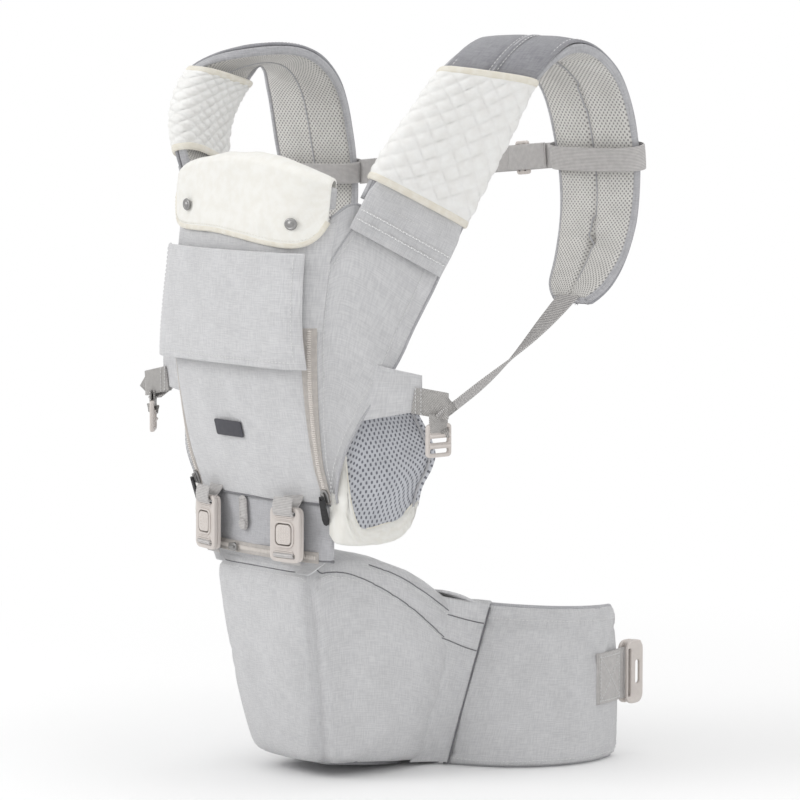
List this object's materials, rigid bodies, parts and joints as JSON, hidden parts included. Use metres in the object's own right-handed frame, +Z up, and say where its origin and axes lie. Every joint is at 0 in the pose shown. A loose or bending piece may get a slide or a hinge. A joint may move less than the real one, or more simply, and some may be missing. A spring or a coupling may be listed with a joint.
{
  "type": "soft baby carrier",
  "caption": "Soft baby carrier with a foam hip seat on a padded waist belt, a zipped front panel, padded shoulder straps, a head support with a folded bib and adjustable buckles.",
  "frame": {"origin": "middle of the footprint (the centre of the bounding box in plan) on the floor", "axes": "+Z up; -Y the way the panel's outside faces, away from the wearer; +X the wearer's left, which is the right-hand side seen from the front"},
  "size_m": [0.4908, 0.4536, 0.7252],
  "materials": {
    "grey_fabric": "heather grey woven polyester, matt",
    "dark_grey_fabric": "darker heather grey woven polyester, matt",
    "cream_cotton": "soft cream cotton, quilted on the strap covers",
    "spacer_mesh": "three-dimensional spacer mesh with small holes",
    "webbing": "ribbed woven webbing",
    "zip_tape": "beige zip tape with a nylon coil",
    "buckle_plastic": "beige grey moulded plastic, satin",
    "metal": "grey plated metal, satin",
    "black_rubber": "soft black moulded rubber",
    "seat_board_plastic": "black sheet plastic",
    "label": "blank dark rubber patch",
    "snap_plastic": "pale pink press stud on grey webbing",
    "foam": "closed-cell foam, hidden"
  },
  "bodies": {
    "hip_seat": {"seat_cover": "grey_fabric", "seat_foam": "foam", "seat_board": "seat_board_plastic", "seat_base": "dark_grey_fabric", "seat_label": "label", "tummy_pad": "dark_grey_fabric"},
    "belt_left": {"belt_cover_left": "grey_fabric", "belt_foam_left": "foam", "belt_webbing_left": "webbing"},
    "belt_right": {"belt_cover_right": "grey_fabric", "belt_foam_right": "foam", "belt_webbing_right": "webbing"},
    "waist_clip": {"waist_buckle_clip": "buckle_plastic"},
    "waist_socket": {"waist_buckle_socket": "buckle_plastic"},
    "panel": {"panel_front": "grey_fabric", "panel_lining": "spacer_mesh", "panel_band": "grey_fabric", "panel_side_left": "grey_fabric", "panel_side_right": "grey_fabric", "zip_tape_left": "zip_tape", "zip_tape_right": "zip_tape", "panel_label": "label", "pocket_bag": "grey_fabric", "wing_left": "grey_fabric", "wing_right": "grey_fabric", "leg_liner_left": "spacer_mesh", "leg_liner_right": "spacer_mesh", "leg_pad_left": "cream_cotton", "leg_pad_right": "cream_cotton", "front_buckle_left": "buckle_plastic", "front_buckle_right": "buckle_plastic", "buckle_webbing_left": "webbing", "buckle_webbing_right": "webbing", "seat_zip_tape": "zip_tape"},
    "pocket_flap": {"pocket_flap": "grey_fabric"},
    "head_support": {"head_support_pad": "grey_fabric", "bib": "cream_cotton", "bib_snap_left": "metal", "bib_snap_right": "metal"},
    "harness": {"strap_outer_left": "dark_grey_fabric", "strap_outer_right": "dark_grey_fabric", "strap_lining_left": "spacer_mesh", "strap_lining_right": "spacer_mesh", "strap_cover_left": "cream_cotton", "strap_cover_right": "cream_cotton", "strap_adjuster_left": "webbing", "strap_adjuster_right": "webbing"},
    "chest_strap": {"chest_webbing": "webbing", "chest_buckle": "buckle_plastic"},
    "chest_slider": {"chest_slider": "buckle_plastic"},
    "side_buckle_left": {"side_buckle_left": "buckle_plastic"},
    "side_buckle_right": {"side_buckle_right": "buckle_plastic"},
    "front_button_left": {"front_button_left": "buckle_plastic"},
    "front_button_right": {"front_button_right": "buckle_plastic"},
    "zip_slider_left": {"zip_slider_left": "metal"},
    "zip_slider_right": {"zip_slider_right": "metal"},
    "zip_pull_left": {"zip_pull_left": "black_rubber"},
    "zip_pull_right": {"zip_pull_right": "black_rubber"},
    "seat_zip_slider": {"seat_zip_slider": "metal"},
    "snap_tab": {"snap_tab": "snap_plastic"}
  },
  "joints": [
    {"name": "belt_swing_right", "type": "hinge", "parent": "hip_seat", "child": "belt_right", "pos_m": [0.07828, 0.02206, 0], "axis": [0, 0, -1], "range_deg": [-12, 30]},
    {"name": "belt_swing_left", "type": "hinge", "parent": "hip_seat", "child": "belt_left", "pos_m": [-0.08511, 0.02206, 0], "axis": [0, 0, 1], "range_deg": [-37, 5]},
    {"name": "waist_socket_swivel", "type": "hinge", "parent": "belt_right", "child": "waist_socket", "pos_m": [0.142, 0.18341, 0.084], "axis": [0, 0, 1], "range_deg": [-10, 10]},
    {"name": "waist_clip_swivel", "type": "hinge", "parent": "belt_left", "child": "waist_clip", "pos_m": [-0.22397, 0.18759, 0.084], "axis": [0, 0, 1], "range_deg": [-8, 8]},
    {"name": "panel_fold", "type": "hinge", "parent": "hip_seat", "child": "panel", "pos_m": [-0.00341, -0.1763, 0.216], "axis": [1, 0, 0], "range_deg": [-12, 75]},
    {"name": "harness_swing", "type": "hinge", "parent": "panel", "child": "harness", "pos_m": [-0.00341, -0.1393, 0.56], "axis": [1, 0, 0], "range_deg": [-4, 12]},
    {"name": "chest_strap_slide", "type": "slide", "parent": "harness", "child": "chest_strap", "axis": [0, 0, 1], "range_m": [-0.01, 0.01]},
    {"name": "chest_slider_slide", "type": "slide", "parent": "chest_strap", "child": "chest_slider", "axis": [-0.9938, -0.0639, -0.0908], "range_m": [0, 0.04]},
    {"name": "head_support_fold", "type": "hinge", "parent": "panel", "child": "head_support", "pos_m": [-0.00341, -0.1953, 0.553], "axis": [-1, 0, 0], "range_deg": [0, 20]},
    {"name": "pocket_flap_lift", "type": "hinge", "parent": "panel", "child": "pocket_flap", "pos_m": [-0.00341, -0.2133, 0.5195], "axis": [-1, 0, 0], "range_deg": [0, 70]},
    {"name": "zip_slide_left", "type": "slide", "parent": "panel", "child": "zip_slider_left", "axis": [-0.0779, -0.2836, 0.9558], "range_m": [0, 0.06]},
    {"name": "zip_pull_lift_left", "type": "hinge", "parent": "zip_slider_left", "child": "zip_pull_left", "pos_m": [-0.1057, -0.1745, 0.28618], "axis": [-0.9643, 0.2648, 0], "range_deg": [0, 60]},
    {"name": "zip_slide_right", "type": "slide", "parent": "panel", "child": "zip_slider_right", "axis": [0.0779, -0.2836, 0.9558], "range_m": [0, 0.06]},
    {"name": "zip_pull_lift_right", "type": "hinge", "parent": "zip_slider_right", "child": "zip_pull_right", "pos_m": [0.09887, -0.1745, 0.28618], "axis": [-0.9643, -0.2648, 0], "range_deg": [0, 60]},
    {"name": "seat_zip_slide", "type": "slide", "parent": "panel", "child": "seat_zip_slider", "axis": [1, 0, 0], "range_m": [0, 0.056]},
    {"name": "front_button_press_left", "type": "slide", "parent": "panel", "child": "front_button_left", "axis": [0.1541, 0.988, -0.0115], "range_m": [0, 0.0025]},
    {"name": "side_buckle_tilt_left", "type": "hinge", "parent": "panel", "child": "side_buckle_left", "pos_m": [-0.20187, -0.14755, 0.35645], "axis": [-0.995, -0.1002, 0], "range_deg": [-20, 20]},
    {"name": "front_button_press_right", "type": "slide", "parent": "panel", "child": "front_button_right", "axis": [-0.1541, 0.988, -0.0115], "range_m": [0, 0.0025]},
    {"name": "side_buckle_tilt_right", "type": "hinge", "parent": "panel", "child": "side_buckle_right", "pos_m": [0.17736, -0.09971, 0.36061], "axis": [0.7438, 0.6683, 0], "range_deg": [-20, 20]},
    {"name": "snap_tab_lift", "type": "hinge", "parent": "panel", "child": "snap_tab", "pos_m": [-0.01753, -0.17888, 0.27587], "axis": [-0.9993, 0.0364, 0], "range_deg": [0, 70]}
  ]
}
